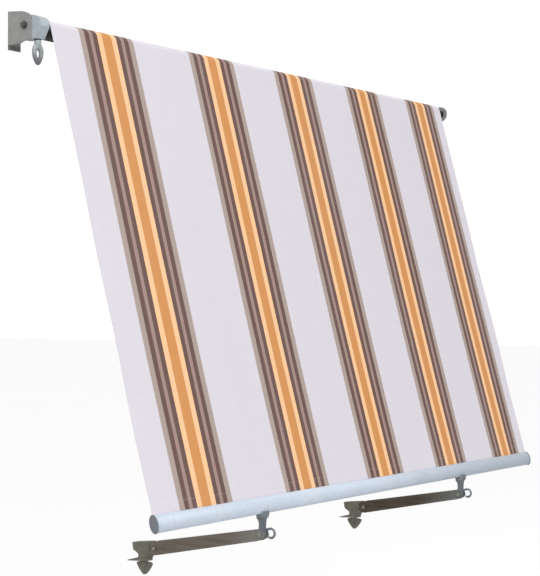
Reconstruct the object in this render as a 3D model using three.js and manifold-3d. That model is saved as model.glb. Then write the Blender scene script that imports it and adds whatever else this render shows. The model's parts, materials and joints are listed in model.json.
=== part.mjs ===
// A striped drop awning for a balcony: wall brackets, crank gear, roller, cloth,
// front bar and two railing arms with clamps. Millimetres, +Z up.
// +X runs along the width, the wall is the plane Y = 0 and the awning hangs
// out towards -Y. Z = 0 is the height of the roller's axis.
import * as THREE from 'three';
import { mergeVertices } from 'three/addons/utils/BufferGeometryUtils.js';
import Module from 'manifold-3d';

const wasm = await Module();
wasm.setup();

// Driving dimensions
const CLOTH_WIDTH = 1920;
const CLOTH_THICKNESS = 0.8;
const SHEET_RUN = 1199.2;
const SLOPE = THREE.MathUtils.degToRad(15.4);
const GAP = 0.3;

const ROLLER_FROM_WALL = 68;
const TUBE_RADIUS = 21;
const TUBE_WALL = 1;
const ROLL_RADIUS = 24;
const TUBE_HALF_LENGTH = 961.5;
const CUP_LENGTH = 36.5;
const CUP_RADIUS = ROLL_RADIUS - CLOTH_THICKNESS / 2 - GAP;
const KEDER_RADIUS = 2.6;
const GROOVE_OFFSET = 17.2;

const PLATE_OUTER_X = 1010;
const PLATE_THICKNESS = 3;
const FLANGE_WIDTH = 41;
const BRACKET_TOP = 44.5;
const RIGHT_BRACKET_TOP = 28;
const BRACKET_BOTTOM = -47.5;
const PLATE_BOTTOM = -36;
const NOSE_RADIUS = 25;
const BUSH_SEAT_RADIUS = 8;

const MOUNT_BOLT = [14, 7];
const GEAR_MID_X = -992;
const HOUSING_OUTER_X = -1006.7;
const HOUSING_INNER_X = -981;
const COVER_THICKNESS = 3.7;
const CENTRE_DISTANCE = 12;
const WHEEL_TEETH = 11;
const WHEEL_PITCH_RADIUS = 8.25;
const WHEEL_TIP_RADIUS = 9.45;
const WHEEL_ROOT_RADIUS = 6.75;
const WHEEL_FACE = 6.8;
const HUB_RADIUS = 6;
const WORM_PITCH_RADIUS = 3.75;
const WORM_TIP_RADIUS = 4.95;
const WORM_ROOT_RADIUS = 2.25;
const WORM_LEAD = 2 * Math.PI * WHEEL_PITCH_RADIUS / WHEEL_TEETH;
const WORM_HALF_LENGTH = 14;
const WORM_SHAFT_RADIUS = 4.5;
const HOUSING_BOTTOM = -27;
const SQUARE = 6;

const BAR_HALF_DEPTH = 11.5;
const BAR_HALF_HEIGHT = 21;
const BAR_HALF_LENGTH = 960.5;
const BAR_WALL = 1.6;
const SLOT_MOUTH = 3;
const SLOT_HALF_WIDTH = 5.5;
const SLOT_TOP = 12.5;
const SLOT_LIP = 17.5;

const ARM_X = { left: -541, right: 497 };
const PIVOT_BELOW_BAR = 71.3;
const PIVOT_OUT_OF_BAR = 3.3;
const ARM_DROOP = THREE.MathUtils.degToRad(10.5);
const ARM_REACH = 338;
const ARM_WIDTH = 24;
const ARM_WALL = 1.8;
const ARM_OUTER_HALF = 14;
const ARM_INNER_HALF = 18;
const HOOK_OFFSET_X = 5.6;
const HOOK_ROD_RADIUS = 3.2;
const HOOK_RADIUS = 11.5;
const HOOK_SHANK_RISE = 8.8;
const WING_SCREW_AT = 42;
const KNUCKLE_RADIUS = 18;

const FINISH = {
  galvanised: { color: 0x9a9894, roughness: 0.55, metalness: 0.6 },
  casting: { color: 0xa9b4ba, roughness: 0.5, metalness: 0.5 },
  steel: { color: 0x8a8c90, roughness: 0.4, metalness: 0.8 },
  brass: { color: 0xb08d4a, roughness: 0.4, metalness: 0.8 },
  nylon: { color: 0x16171a, roughness: 0.5, metalness: 0 },
  bar: { color: 0xd3dbe6, roughness: 0.35, metalness: 0.2 },
  cap: { color: 0x7b8087, roughness: 0.5, metalness: 0 },
  arm: { color: 0x6e675d, roughness: 0.6, metalness: 0.4 },
  clamp: { color: 0x69675c, roughness: 0.6, metalness: 0.4 },
  cloth: { color: 0xe2dde4, roughness: 0.9, metalness: 0 },
  keder: { color: 0xd9d9d6, roughness: 0.7, metalness: 0 },
};

// Axes for a profile drawn in (Y, Z) and pulled along X, and in (Z, X) along Y
const ALONG_X = new THREE.Matrix4().set(0, 0, 1, 0, 1, 0, 0, 0, 0, 1, 0, 0, 0, 0, 0, 1);
const ALONG_Y = new THREE.Matrix4().set(0, 1, 0, 0, 0, 0, 1, 0, 1, 0, 0, 0, 0, 0, 0, 1);

// Keeps positions only, joins shared corners and turns the faces outwards
function closed(geometry) {
  const bare = geometry.clone();
  for (const name of Object.keys(bare.attributes)) {
    if (name !== 'position') bare.deleteAttribute(name);
  }
  const merged = mergeVertices(bare, 1e-3);
  const place = merged.attributes.position;
  const index = merged.index.array;
  const a = new THREE.Vector3();
  const b = new THREE.Vector3();
  const c = new THREE.Vector3();
  const kept = [];
  let volume = 0;
  for (let i = 0; i < index.length; i += 3) {
    const [p, q, r] = [index[i], index[i + 1], index[i + 2]];
    if (p === q || q === r || r === p) continue;
    a.fromBufferAttribute(place, p);
    b.fromBufferAttribute(place, q);
    c.fromBufferAttribute(place, r);
    volume += a.dot(b.cross(c));
    kept.push(p, q, r);
  }
  if (volume < 0) kept.reverse();
  merged.setIndex(kept);
  return merged;
}

function solid(geometry) {
  const whole = closed(geometry);
  const vertProperties = new Float32Array(whole.attributes.position.array);
  const triVerts = new Uint32Array(whole.index.array);
  return new wasm.Manifold(new wasm.Mesh({ numProp: 3, vertProperties, triVerts }));
}

function surface(manifold) {
  const mesh = manifold.getMesh();
  const geometry = new THREE.BufferGeometry();
  geometry.setAttribute('position', new THREE.BufferAttribute(mesh.vertProperties, 3));
  geometry.setIndex(new THREE.BufferAttribute(mesh.triVerts, 1));
  return geometry;
}

function joined(first, ...others) {
  return surface(others.reduce((sum, piece) => sum.add(solid(piece)), solid(first)));
}

function cut(first, ...others) {
  return surface(others.reduce((rest, piece) => rest.subtract(solid(piece)), solid(first)));
}

function outline(points) {
  return new THREE.Shape(points.map(([u, v]) => new THREE.Vector2(u, v)));
}

function pulled(shape, from, to, axes, curveSegments = 8) {
  const depth = to - from;
  const geometry = new THREE.ExtrudeGeometry(shape, { depth, bevelEnabled: false, curveSegments });
  geometry.translate(0, 0, from);
  if (axes) geometry.applyMatrix4(axes);
  return geometry;
}

function box(x0, x1, y0, y1, z0, z1) {
  const geometry = new THREE.BoxGeometry(x1 - x0, y1 - y0, z1 - z0);
  geometry.translate((x0 + x1) / 2, (y0 + y1) / 2, (z0 + z1) / 2);
  return geometry;
}

function rodX(radius, x0, x1, y = 0, z = 0, sides = 20) {
  const geometry = new THREE.CylinderGeometry(radius, radius, x1 - x0, sides);
  geometry.rotateZ(-Math.PI / 2);
  geometry.translate((x0 + x1) / 2, y, z);
  return geometry;
}

function rodZ(radius, z0, z1, x = 0, y = 0, sides = 20) {
  const geometry = new THREE.CylinderGeometry(radius, radius, z1 - z0, sides);
  geometry.rotateX(Math.PI / 2);
  geometry.translate(x, y, (z0 + z1) / 2);
  return geometry;
}

// Turned pieces: profile points are (radius, place along the axis)
function turnedX(profile, sides = 24) {
  const geometry = new THREE.LatheGeometry(profile.map(([r, s]) => new THREE.Vector2(r, s)), sides);
  geometry.rotateZ(-Math.PI / 2);
  return geometry;
}

function turnedZ(profile, sides = 24) {
  const geometry = new THREE.LatheGeometry(profile.map(([r, s]) => new THREE.Vector2(r, s)), sides);
  geometry.rotateX(Math.PI / 2);
  return geometry;
}

function hexX(acrossFlats, x0, x1, y = 0, z = 0) {
  return rodX(acrossFlats / Math.sqrt(3), x0, x1, y, z, 6);
}

function piece(name, geometry, finish) {
  const mesh = new THREE.Mesh(closed(geometry), new THREE.MeshStandardMaterial(FINISH[finish]));
  mesh.name = name;
  return mesh;
}

// Pressed steel bracket: a wall flange and a side plate that is cut back below
function bracketPlate(side) {
  const shape = new THREE.Shape();
  shape.moveTo(0, PLATE_BOTTOM);
  shape.lineTo(-40, PLATE_BOTTOM);
  if (side < 0) {
    shape.quadraticCurveTo(-48, -30, -74, -28.5);
    shape.lineTo(-74, 28);
    shape.quadraticCurveTo(-66, 37, -44, 41);
    shape.lineTo(0, BRACKET_TOP);
  } else {
    const start = THREE.MathUtils.degToRad(-75);
    shape.quadraticCurveTo(-48, -30, -ROLLER_FROM_WALL + NOSE_RADIUS * Math.cos(start),
      NOSE_RADIUS * Math.sin(start));
    shape.absarc(-ROLLER_FROM_WALL, 0, NOSE_RADIUS, start, -2 * Math.PI - start, true);
    shape.quadraticCurveTo(-54, 26.5, -44, 27);
    shape.lineTo(0, RIGHT_BRACKET_TOP);
  }
  return shape;
}

function bracket(side) {
  const outer = side * PLATE_OUTER_X;
  const inner = side * (PLATE_OUTER_X - PLATE_THICKNESS);
  const flangeEdge = side * (PLATE_OUTER_X - FLANGE_WIDTH);
  const sorted = (a, b) => [Math.min(a, b), Math.max(a, b)];
  const plate = pulled(bracketPlate(side), ...sorted(outer, inner), ALONG_X, 10);
  const top = side < 0 ? BRACKET_TOP : RIGHT_BRACKET_TOP;
  const flange = box(...sorted(outer, flangeEdge), -PLATE_THICKNESS, 0, BRACKET_BOTTOM, top);
  const slotX = side * (PLATE_OUTER_X - 24);
  const slots = [];
  for (const z of side < 0 ? [-21, 28] : [-30, 14]) {
    const slot = new THREE.Shape();
    slot.absarc(z - 5, slotX, 3.5, Math.PI / 2, Math.PI * 1.5, false);
    slot.absarc(z + 5, slotX, 3.5, -Math.PI / 2, Math.PI / 2, false);
    slots.push(pulled(slot, -PLATE_THICKNESS - 1, 1, ALONG_Y, 6));
  }
  const through = sorted(side * (PLATE_OUTER_X + 5), side * (PLATE_OUTER_X - 10));
  const hole = side < 0
    ? rodX(3.3, ...through, MOUNT_BOLT[0] - ROLLER_FROM_WALL, MOUNT_BOLT[1])
    : rodX(BUSH_SEAT_RADIUS, ...through, -ROLLER_FROM_WALL, 0);
  return cut(joined(plate, flange), ...slots, hole);
}

// Outline of the gear casting, around the roller's axis
function housingOutline() {
  const shape = new THREE.Shape();
  shape.moveTo(22, HOUSING_BOTTOM);
  shape.lineTo(-20.5, HOUSING_BOTTOM);
  shape.lineTo(-36, 2);
  shape.lineTo(-36, 13);
  shape.quadraticCurveTo(-34, 23, -14, 28.5);
  shape.quadraticCurveTo(0, 31, 12, 29);
  shape.quadraticCurveTo(28, 26, 28, 10);
  shape.lineTo(28, -21);
  shape.quadraticCurveTo(28, HOUSING_BOTTOM, 22, HOUSING_BOTTOM);
  return shape;
}

const COVER_SCREWS = [[21, 19], [21, -19], [-30, 8]];

function gearHousing() {
  const body = pulled(housingOutline(), HOUSING_OUTER_X, HOUSING_INNER_X, ALONG_X, 6);
  return cut(
    body,
    rodX(10.8, -1000, HOUSING_INNER_X + 1, 0, 0, 28),
    rodX(HUB_RADIUS + GAP, -1003, -999, 0, 0, 24),
    rodZ(6.5, HOUSING_BOTTOM - 1, 17, GEAR_MID_X, -CENTRE_DISTANCE, 24),
    rodZ(3.5, 16, 23, GEAR_MID_X, -CENTRE_DISTANCE, 16),
    rodX(3.3, HOUSING_OUTER_X - 1, -993, ...MOUNT_BOLT, 16),
    ...COVER_SCREWS.map(([y, z]) => rodX(2.3, HOUSING_INNER_X - 9, HOUSING_INNER_X + 1, y, z, 12)),
  );
}

function gearCover() {
  const from = HOUSING_INNER_X + GAP;
  const plate = pulled(housingOutline(), from, from + COVER_THICKNESS, ALONG_X, 6);
  return cut(
    plate,
    rodX(HUB_RADIUS + GAP, from - 1, from + COVER_THICKNESS + 1, 0, 0, 24),
    ...COVER_SCREWS.map(([y, z]) => rodX(2.3, from - 1, from + COVER_THICKNESS + 1, y, z, 12)),
  );
}

function coverScrew([y, z]) {
  const seat = HOUSING_INNER_X + GAP + COVER_THICKNESS + GAP;
  return joined(rodX(3.6, seat, seat + 2.4, y, z, 12), rodX(2, seat - 11, seat + 1, y, z, 10));
}

// Worm wheel: trapezoid teeth leaning with the worm's lead, hubs both sides,
// and a square bore for the drive bar
function wormWheel() {
  const profile = [];
  for (let i = 0; i < WHEEL_TEETH; i += 1) {
    const centre = Math.PI + 2 * Math.PI * i / WHEEL_TEETH;
    const rootHalf = 1.2 / WHEEL_ROOT_RADIUS;
    const tipHalf = 0.56 / WHEEL_TIP_RADIUS;
    const corners = [[WHEEL_ROOT_RADIUS, -rootHalf], [WHEEL_TIP_RADIUS, -tipHalf],
      [WHEEL_TIP_RADIUS, tipHalf], [WHEEL_ROOT_RADIUS, rootHalf]];
    for (const [radius, turn] of corners) {
      profile.push([radius * Math.cos(centre + turn), radius * Math.sin(centre + turn)]);
    }
  }
  const steps = 3;
  const teeth = new THREE.ExtrudeGeometry(outline(profile), { depth: WHEEL_FACE, bevelEnabled: false, steps });
  teeth.translate(0, 0, -WHEEL_FACE / 2);
  const lead = WORM_LEAD / (2 * Math.PI * WORM_PITCH_RADIUS) / WHEEL_PITCH_RADIUS;
  twist(teeth, lead);
  teeth.applyMatrix4(ALONG_X);
  teeth.translate(GEAR_MID_X, 0, 0);
  const hub = rodX(HUB_RADIUS, -1002.7, -977.6, 0, 0, 24);
  const half = SQUARE / 2 + GAP;
  return cut(joined(teeth, hub), box(-1004, -976, -half, half, -half, half));
}

// Turns each slice of a body about its own Z axis in step with its height
function twist(geometry, turnPerLength) {
  const place = geometry.attributes.position;
  const point = new THREE.Vector3();
  const axis = new THREE.Vector3(0, 0, 1);
  for (let i = 0; i < place.count; i += 1) {
    point.fromBufferAttribute(place, i);
    point.applyAxisAngle(axis, turnPerLength * point.z);
    place.setXYZ(i, point.x, point.y, point.z);
  }
}

// Single-start worm: its cross-section turned once per lead, with plain journals
function worm() {
  const ridge = [[43, 1], [58, 0.66], [75, 0.3], [92, 0], [120, 0], [150, 0], [180, 0]];
  const all = [...ridge.map(([a, h]) => [-a, h]).reverse(), [-20, 1], [0, 1], [20, 1],
    ...ridge.slice(0, -1)];
  const section = all.map(([degrees, height]) => {
    const turn = THREE.MathUtils.degToRad(degrees - 90);
    const radius = WORM_ROOT_RADIUS + (WORM_TIP_RADIUS - WORM_ROOT_RADIUS) * height;
    return [radius * Math.cos(turn), radius * Math.sin(turn)];
  });
  const depth = 2 * WORM_HALF_LENGTH;
  const thread = new THREE.ExtrudeGeometry(outline(section), { depth, bevelEnabled: false, steps: 60 });
  thread.translate(0, 0, -WORM_HALF_LENGTH);
  twist(thread, 2 * Math.PI / WORM_LEAD);
  const lower = rodZ(WORM_SHAFT_RADIUS, -41, -WORM_HALF_LENGTH + 0.5);
  const upper = rodZ(3.2, WORM_HALF_LENGTH - 0.5, 22.6, 0, 0, 16);
  const pinHole = new THREE.CylinderGeometry(1.8, 1.8, 20, 10);
  pinHole.translate(0, 0, -35);
  const shaft = cut(joined(thread, lower, upper), pinHole);
  shaft.translate(GEAR_MID_X, -CENTRE_DISTANCE, 0);
  return shaft;
}

function wormBush() {
  const bush = turnedZ([[4.8, -29.3], [8.2, -29.3], [8.2, HOUSING_BOTTOM - GAP], [6.2, HOUSING_BOTTOM - GAP],
    [6.2, -18], [4.8, -18], [4.8, -29.3]]);
  bush.translate(GEAR_MID_X, -CENTRE_DISTANCE, 0);
  return bush;
}

// Crank eye: an egg-shaped loop under a round neck, pinned to the worm's shaft
function crankEye() {
  const loop = new THREE.TorusGeometry(11.4, 5.6, 10, 28);
  loop.rotateX(Math.PI / 2);
  const place = loop.attributes.position;
  for (let i = 0; i < place.count; i += 1) {
    const z = place.getZ(i) * 1.55;
    place.setX(i, place.getX(i) * (1 + 0.011 * z));
    place.setZ(i, z);
  }
  loop.translate(0, 0, -62.5);
  const neck = turnedZ([[0, -46], [6.5, -46], [8.5, -41], [8.5, -29.7], [0, -29.7]], 20);
  const eye = cut(
    joined(loop, neck),
    rodZ(WORM_SHAFT_RADIUS + GAP, -41.4, -29),
    new THREE.CylinderGeometry(1.8, 1.8, 30, 10).translate(0, 0, -35),
  );
  eye.translate(GEAR_MID_X, -CENTRE_DISTANCE, 0);
  return eye;
}

function crankPin() {
  const pin = new THREE.CylinderGeometry(1.5, 1.5, 17.6, 10);
  pin.translate(GEAR_MID_X, -CENTRE_DISTANCE, -35);
  return pin;
}

// Roller: tube with a keder groove, plugs whose cups run out under the cloth, journals
function rollerTube() {
  const [x0, x1] = [-TUBE_HALF_LENGTH, TUBE_HALF_LENGTH];
  const past = 2;
  const shell = cut(rodX(TUBE_RADIUS, x0, x1, 0, 0, 48),
    rodX(TUBE_RADIUS - TUBE_WALL, x0 - past, x1 + past, 0, 0, 48));
  return cut(
    joined(shell, rodX(KEDER_RADIUS + 1.6, x0, x1, 0, GROOVE_OFFSET, 16)),
    rodX(KEDER_RADIUS + 0.6, x0 - past, x1 + past, 0, GROOVE_OFFSET, 16),
    box(x0 - past, x1 + past, -1.1, 1.1, GROOVE_OFFSET, TUBE_RADIUS + 2),
  );
}

function rollerPlug(side) {
  const body = TUBE_RADIUS - TUBE_WALL - GAP;
  const flange = TUBE_HALF_LENGTH + GAP;
  const collarEnd = side < 0 ? 976.5 : 1000;
  const collar = 12;
  const cup = [[TUBE_RADIUS + GAP, flange], [TUBE_RADIUS + GAP, flange - CUP_LENGTH],
    [CUP_RADIUS, flange - CUP_LENGTH], [CUP_RADIUS, flange + 4]];
  const profile = [[0, flange - 36], [body, flange - 36], [body, flange], ...cup,
    [collar, flange + 5], [collar, collarEnd], [0, collarEnd]];
  const plug = turnedX(profile, 40);
  if (side < 0) plug.rotateZ(Math.PI);
  const along = [side * (flange - 40), side * flange].sort((a, b) => a - b);
  const keyway = rodX(KEDER_RADIUS + 1.9, ...along, 0, GROOVE_OFFSET, 16);
  const half = SQUARE / 2 + GAP;
  const bore = side < 0
    ? box(-1010, -900, -half, half, -half, half)
    : rodX(5 + GAP, 900, 1010, 0, 0, 20);
  return cut(plug, keyway, bore);
}

function idlerPin() {
  return turnedX([[0, 928], [5, 928], [5, 1011], [4, 1011], [4, 1012.4], [5, 1012.4], [5, 1014], [0, 1014]], 20);
}

function idlerBush() {
  return turnedX([[5.3, 1003.7], [13, 1003.7], [13, 1006.7], [7.7, 1006.7], [7.7, 1010.5], [5.3, 1010.5],
    [5.3, 1003.7]], 24);
}

function idlerRing() {
  return turnedX([[4.3, 1011.2], [8.5, 1011.2], [8.5, 1012.2], [4.3, 1012.2], [4.3, 1011.2]], 20);
}

// The turns of cloth left on the roller, as one body
function clothRoll() {
  const outer = CUP_RADIUS;
  const half = TUBE_HALF_LENGTH - CUP_LENGTH;
  const inner = TUBE_RADIUS + GAP;
  return turnedX([[inner, -half], [outer, -half], [outer, half], [inner, half], [inner, -half]], 56);
}

// The sheet between the roll and the front bar, flat in the slope's own frame
function clothSheet() {
  const top = 0;
  const bottom = -SHEET_RUN + BAR_HALF_HEIGHT - 2.4;
  const half = CLOTH_THICKNESS / 2;
  return box(-CLOTH_WIDTH / 2, CLOTH_WIDTH / 2, -half, half, bottom, top);
}

function ellipsePoints(halfDepth, halfHeight, fromDegrees, toDegrees, count) {
  const points = [];
  for (let i = 0; i <= count; i += 1) {
    const t = THREE.MathUtils.degToRad(fromDegrees + (toDegrees - fromDegrees) * i / count);
    points.push([halfDepth * Math.sin(t), halfHeight * Math.cos(t)]);
  }
  return points;
}

// Oval aluminium bar: keder groove along the top, tee slot along the bottom
const BAR_GROOVE_AT = 15.6;

function frontBar() {
  const [x0, x1] = [-BAR_HALF_LENGTH, BAR_HALF_LENGTH];
  const shell = pulled(outline(ellipsePoints(BAR_HALF_DEPTH, BAR_HALF_HEIGHT, 0, 354, 59)), x0, x1, ALONG_X);
  const chamberHalf = 10.8;
  const edge = THREE.MathUtils.radToDeg(Math.acos(chamberHalf / (BAR_HALF_HEIGHT - BAR_WALL)));
  const inside = [BAR_HALF_DEPTH - BAR_WALL, BAR_HALF_HEIGHT - BAR_WALL];
  const chamber = outline([...ellipsePoints(...inside, edge, 180 - edge, 10),
    ...ellipsePoints(...inside, 180 + edge, 360 - edge, 10)]);
  return cut(
    shell,
    pulled(chamber, x0 - 1, x1 + 1, ALONG_X),
    rodX(KEDER_RADIUS + 0.6, x0 - 1, x1 + 1, 0, BAR_GROOVE_AT, 16),
    box(x0 - 1, x1 + 1, -1.1, 1.1, BAR_GROOVE_AT, BAR_HALF_HEIGHT + 1),
    box(x0 - 1, x1 + 1, -SLOT_HALF_WIDTH, SLOT_HALF_WIDTH, -SLOT_LIP, -SLOT_TOP),
    box(x0 - 1, x1 + 1, -SLOT_MOUTH, SLOT_MOUTH, -BAR_HALF_HEIGHT - 1, -SLOT_TOP),
  );
}

function barCap(side) {
  const start = BAR_HALF_LENGTH + GAP;
  const shape = outline(ellipsePoints(BAR_HALF_DEPTH + 1, BAR_HALF_HEIGHT + 1, 0, 350, 35));
  const plate = pulled(shape, start, start + 4, ALONG_X);
  const spigotHalf = 10;
  const inside = [BAR_HALF_DEPTH - BAR_WALL - 0.5, BAR_HALF_HEIGHT - BAR_WALL - 0.5];
  const edge = THREE.MathUtils.radToDeg(Math.acos(spigotHalf / inside[1]));
  const spigot = outline([...ellipsePoints(...inside, edge, 180 - edge, 8),
    ...ellipsePoints(...inside, 180 + edge, 360 - edge, 8)]);
  const cap = joined(plate, pulled(spigot, start - 14, start + 1, ALONG_X));
  if (side < 0) cap.applyMatrix4(new THREE.Matrix4().makeScale(-1, 1, 1));
  return cap;
}

// Hanger post: a funnel saddled under the bar, flattened into a pivot tongue
// that leaves room beside it for the arm's hook
function hangerPost() {
  const tip = -PIVOT_BELOW_BAR;
  const funnel = turnedZ([[0, tip + 42], [14, tip + 42], [17, -22], [17, -13], [0, -13]], 28);
  const tongueShape = new THREE.Shape();
  tongueShape.absarc(0, tip, 9, Math.PI, 2 * Math.PI, false);
  tongueShape.lineTo(5, tip + 12);
  tongueShape.lineTo(4.5, tip + 28);
  tongueShape.quadraticCurveTo(6, tip + 36, 13, tip + 43);
  tongueShape.lineTo(-13, tip + 43);
  tongueShape.quadraticCurveTo(-11.5, tip + 36, -10.5, tip + 28);
  tongueShape.lineTo(-9.6, tip + 12);
  const tongue = pulled(tongueShape, -9.9, 1, ALONG_X, 8);
  const post = joined(funnel, tongue);
  post.translate(0, -PIVOT_OUT_OF_BAR, 0);
  const seat = pulled(outline(ellipsePoints(BAR_HALF_DEPTH + GAP, BAR_HALF_HEIGHT + GAP, 0, 354, 59)),
    -30, 30, ALONG_X);
  const studBore = rodZ(3.3, -40, 0, 0, 0, 16);
  seat.rotateX(-SLOPE);
  studBore.rotateX(-SLOPE);
  return cut(post, seat, studBore, rodX(3.1, -20, 20, -PIVOT_OUT_OF_BAR, tip, 16));
}

// Tee bolt: its head rides in the bar's slot and its stud screws into the post
function hangerTeeBolt() {
  const head = box(-12, 12, -SLOT_HALF_WIDTH + GAP, SLOT_HALF_WIDTH - GAP, -SLOT_LIP + GAP, -SLOT_TOP - GAP);
  const stud = rodZ(2.6, -39, -SLOT_TOP - 1, 0, 0, 14);
  const bolt = joined(head, stud);
  bolt.rotateX(-SLOPE);
  return bolt;
}

// Arm: a tapered channel, open below, with its web cut back at both ends and a
// round knuckle at the clamp
function armChannel() {
  const shape = new THREE.Shape();
  shape.absarc(0, 0, 11, Math.PI * 0.62, Math.PI * 1.38, false);
  shape.lineTo(8, -ARM_OUTER_HALF);
  shape.lineTo(ARM_REACH, -KNUCKLE_RADIUS);
  shape.absarc(ARM_REACH, 0, KNUCKLE_RADIUS, -Math.PI / 2, Math.PI / 2, false);
  shape.lineTo(8, ARM_OUTER_HALF);
  const half = ARM_WIDTH / 2;
  const block = pulled(shape, -half, half, ALONG_X, 10);
  const inside = half - ARM_WALL;
  const rise = (KNUCKLE_RADIUS - ARM_OUTER_HALF) / ARM_REACH;
  const hollow = outline([[-30, -60], [ARM_REACH + 30, -60],
    [ARM_REACH + 30, ARM_OUTER_HALF + rise * (ARM_REACH + 30) - ARM_WALL],
    [-30, ARM_OUTER_HALF - rise * 30 - ARM_WALL]]);
  return cut(
    block,
    pulled(hollow, -inside, inside, ALONG_X),
    box(-inside, inside, -30, 24, 0, 40),
    box(-inside, inside, ARM_REACH - 22, ARM_REACH + 30, 0, 40),
    rodX(3.3, -half - 1, half + 1, 0, 0, 16),
    rodX(3.3, -half - 1, half + 1, ARM_REACH, 0, 16),
  );
}

// Rod hook: lies under the arm's web, passes over the pivot and curls open
class HookLine extends THREE.Curve {
  getPoint(t, target = new THREE.Vector3()) {
    const shank = 70;
    const centre = -21.5;
    const sweep = THREE.MathUtils.degToRad(222);
    const total = shank + HOOK_RADIUS * sweep;
    const s = t * total;
    if (s < shank) {
      const k = s / shank;
      const rise = HOOK_SHANK_RISE + (HOOK_RADIUS - HOOK_SHANK_RISE) * k ** 3;
      return target.set(HOOK_OFFSET_X, centre + shank * (1 - k), rise);
    }
    const turn = (s - shank) / HOOK_RADIUS;
    return target.set(HOOK_OFFSET_X, centre - HOOK_RADIUS * Math.sin(turn), HOOK_RADIUS * Math.cos(turn));
  }
}

function armHook() {
  const ring = new THREE.Shape();
  ring.absarc(0, 0, HOOK_ROD_RADIUS, 0, 2 * Math.PI, false);
  return new THREE.ExtrudeGeometry(ring, { extrudePath: new HookLine(), steps: 30, curveSegments: 4 });
}

function pivotBolt(at) {
  const half = ARM_WIDTH / 2 + GAP;
  return joined(hexX(10, -half - 4, -half, at, 0), rodX(3, -half - 1, half + 7.5, at, 0, 14));
}

function pivotNut(at) {
  const half = ARM_WIDTH / 2 + GAP;
  return cut(hexX(10, half, half + 5, at, 0), rodX(3.3, half - 1, half + 6, at, 0, 14));
}

// Clamp head: a seat round the arm's knuckle, a hooked upper jaw, a tongue between
// the arm's cheeks and a tapped block below
function clampHead() {
  const seat = KNUCKLE_RADIUS + 0.6;
  const reach = THREE.MathUtils.degToRad(50);
  const shape = new THREE.Shape();
  shape.absarc(0, 0, seat, reach, -reach, true);
  shape.lineTo(22, -21);
  shape.lineTo(23.5, -27);
  shape.lineTo(54, -27);
  shape.lineTo(54, -18);
  shape.lineTo(71, -8);
  shape.lineTo(74, 10.5);
  shape.lineTo(16, 16.5);
  const head = pulled(shape, -13, 13, ALONG_X, 10);
  const tongueShape = new THREE.Shape();
  tongueShape.absarc(0, 0, 11, Math.PI / 2, Math.PI * 1.5, false);
  tongueShape.lineTo(24, -9);
  tongueShape.lineTo(24, 9);
  const tongue = pulled(tongueShape, -9.9, 9.9, ALONG_X, 8);
  return cut(joined(head, tongue), rodX(3.3, -20, 20, 0, 0, 16), rodZ(4.3, -30, -5, 0, WING_SCREW_AT, 16));
}

function clampJaw() {
  const shape = outline([[25, -27.4], [56, -27.4], [60, -28.6], [92, -37.2], [91, -39], [70, -37.8],
    [25, -35.5]]);
  return cut(pulled(shape, -12, 12, ALONG_X), rodZ(4.3, -50, -20, 0, WING_SCREW_AT, 16));
}

// Wing screw: a leaf-shaped wing on an M8 stud
function wingScrew() {
  const wing = new THREE.Shape();
  wing.moveTo(-9, -38.9);
  wing.lineTo(9, -38.9);
  wing.quadraticCurveTo(23, -39, 25, -43);
  wing.quadraticCurveTo(21, -55, 4, -71);
  wing.quadraticCurveTo(0, -73, -4, -71);
  wing.quadraticCurveTo(-21, -55, -25, -43);
  wing.quadraticCurveTo(-23, -39, -9, -38.9);
  const leaf = pulled(wing, -3.5, 3.5, ALONG_X, 5);
  const boss = rodZ(7.5, -52, -38.7, 0, 0, 16);
  const screw = joined(leaf, boss, rodZ(4, -40, -8, 0, 0, 16));
  screw.translate(0, WING_SCREW_AT, 0);
  return screw;
}

// Assembly, grouped as the object comes apart
const awning = new THREE.Group();

const brackets = new THREE.Group();
brackets.add(piece('bracket_left', bracket(-1), 'galvanised'));
brackets.add(piece('bracket_right', bracket(1), 'galvanised'));

const rollerLine = new THREE.Group();
rollerLine.position.y = -ROLLER_FROM_WALL;
rollerLine.add(piece('gear_housing', gearHousing(), 'casting'));
rollerLine.add(piece('gear_cover', gearCover(), 'casting'));
COVER_SCREWS.forEach((at, i) => {
  rollerLine.add(piece(`gear_cover_screw_${i + 1}`, coverScrew(at), 'steel'));
});
const boltHead = joined(hexX(13, -1017, -1012.4, ...MOUNT_BOLT), rodX(3, -1013, -994, ...MOUNT_BOLT, 14));
const washer = cut(rodX(9, -1012, -1010.3, ...MOUNT_BOLT, 24), rodX(3.3, -1013, -1009, ...MOUNT_BOLT, 14));
rollerLine.add(piece('gear_mount_bolt', boltHead, 'steel'));
rollerLine.add(piece('gear_mount_washer', washer, 'steel'));
rollerLine.add(piece('worm_wheel', wormWheel(), 'brass'));
rollerLine.add(piece('worm', worm(), 'steel'));
rollerLine.add(piece('worm_bush', wormBush(), 'nylon'));
rollerLine.add(piece('crank_eye', crankEye(), 'steel'));
rollerLine.add(piece('crank_eye_pin', crankPin(), 'steel'));
const halfSquare = SQUARE / 2;
rollerLine.add(piece('drive_square', box(-1002, -930, -halfSquare, halfSquare, -halfSquare, halfSquare), 'steel'));
rollerLine.add(piece('roller_tube', rollerTube(), 'galvanised'));
const kederReach = CLOTH_WIDTH / 2 - 2;
rollerLine.add(piece('roller_keder', rodX(KEDER_RADIUS, -kederReach, kederReach, 0, GROOVE_OFFSET, 10), 'keder'));
rollerLine.add(piece('roller_plug_left', rollerPlug(-1), 'nylon'));
rollerLine.add(piece('roller_plug_right', rollerPlug(1), 'nylon'));
rollerLine.add(piece('idler_pin', idlerPin(), 'steel'));
rollerLine.add(piece('idler_bush', idlerBush(), 'nylon'));
rollerLine.add(piece('idler_ring', idlerRing(), 'steel'));
rollerLine.add(piece('fabric_roll', clothRoll(), 'cloth'));

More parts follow.
